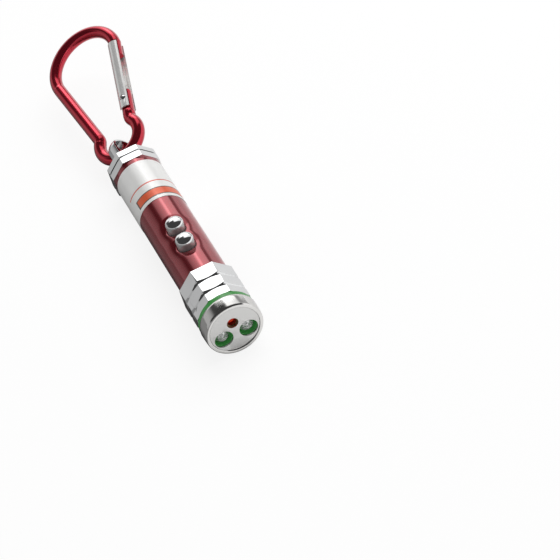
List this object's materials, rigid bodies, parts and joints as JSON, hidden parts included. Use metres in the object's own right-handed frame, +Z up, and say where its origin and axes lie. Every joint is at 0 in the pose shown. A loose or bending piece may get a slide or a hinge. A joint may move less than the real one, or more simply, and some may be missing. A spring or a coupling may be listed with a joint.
{
  "type": "keychain laser pointer",
  "caption": "Pocket laser pointer and lamp with push buttons, a screw-on tail cap and a spring-gate carabiner for hanging it on a key ring or a bag.",
  "frame": {"origin": "middle of the outer box in plan, on the surface that the bezel lies on", "axes": "+Y back along the barrel from the lamps to the carabiner, +Z up through the buttons"},
  "size_m": [0.0218, 0.1252, 0.018],
  "materials": {
    "chrome": "polished",
    "red_lacquer": "glossy dark red lacquer",
    "label": "silver-white film",
    "green_plastic": "translucent green",
    "clear": "clear",
    "lens": "clear",
    "brass": "turned",
    "steel": "plain",
    "gate": "satin",
    "red_anodised": "bright red anodised",
    "board": "green laminate",
    "black_plastic": "moulded"
  },
  "bodies": {
    "barrel": {"front_bezel": "chrome", "led_carrier": "green_plastic", "head_collar": "chrome", "barrel_tube": "red_lacquer", "label_wrap": "label", "led_left": "clear", "led_right": "clear", "laser_housing": "brass", "lens_nut": "brass", "laser_lens": "lens", "laser_diode": "steel", "circuit_board": "board", "switch_front": "black_plastic", "switch_rear": "black_plastic", "contact_disc": "black_plastic", "contact_stud": "brass", "cell_front": "steel", "cell_middle": "steel", "cell_rear": "steel"},
    "front_button": {"button_front": "chrome", "plunger_front": "steel"},
    "rear_button": {"button_rear": "chrome", "plunger_rear": "steel"},
    "cap_thread": {"battery_spring": "steel"},
    "cap": {"tail_cap": "chrome"},
    "hook": {"carabiner_hook": "red_anodised"},
    "gate": {"carabiner_gate": "gate", "gate_rivet": "steel", "gate_spring": "steel"}
  },
  "joints": [
    {"name": "press_front", "type": "slide", "parent": "barrel", "child": "front_button", "axis": [0, 0, -1], "range_m": [0, 0.0005], "stiffness_N_per_m": 400, "springref_m": -0.001},
    {"name": "press_rear", "type": "slide", "parent": "barrel", "child": "rear_button", "axis": [0, 0, -1], "range_m": [0, 0.0005], "stiffness_N_per_m": 400, "springref_m": -0.001},
    {"name": "cap_travel", "type": "slide", "parent": "barrel", "child": "cap_thread", "axis": [0, 1, 0], "range_m": [0, 0.0038]},
    {"name": "cap_unscrew", "type": "hinge", "parent": "cap_thread", "child": "cap", "pos_m": [-0.00331, 0.00419, 0.0076], "axis": [0, 1, 0], "range_deg": [0, 1800]},
    {"name": "hook_swing", "type": "hinge", "parent": "cap", "child": "hook", "pos_m": [-0.00331, 0.01594, 0.0076], "axis": [0.7071, 0, 0.7071], "range_deg": [-100, 100]},
    {"name": "gate_open", "type": "hinge", "parent": "hook", "child": "gate", "pos_m": [0.00402, 0.02962, 0.01199], "axis": [-0.3834, -0.0893, 0.9193], "range_deg": [0, 30], "stiffness_Nm_per_rad": 0.02, "springref_deg": -17.19}
  ],
  "couplings": [
    {"joint": "cap_travel", "follows": "cap_unscrew", "m_per_rad": 0.00011937}
  ]
}
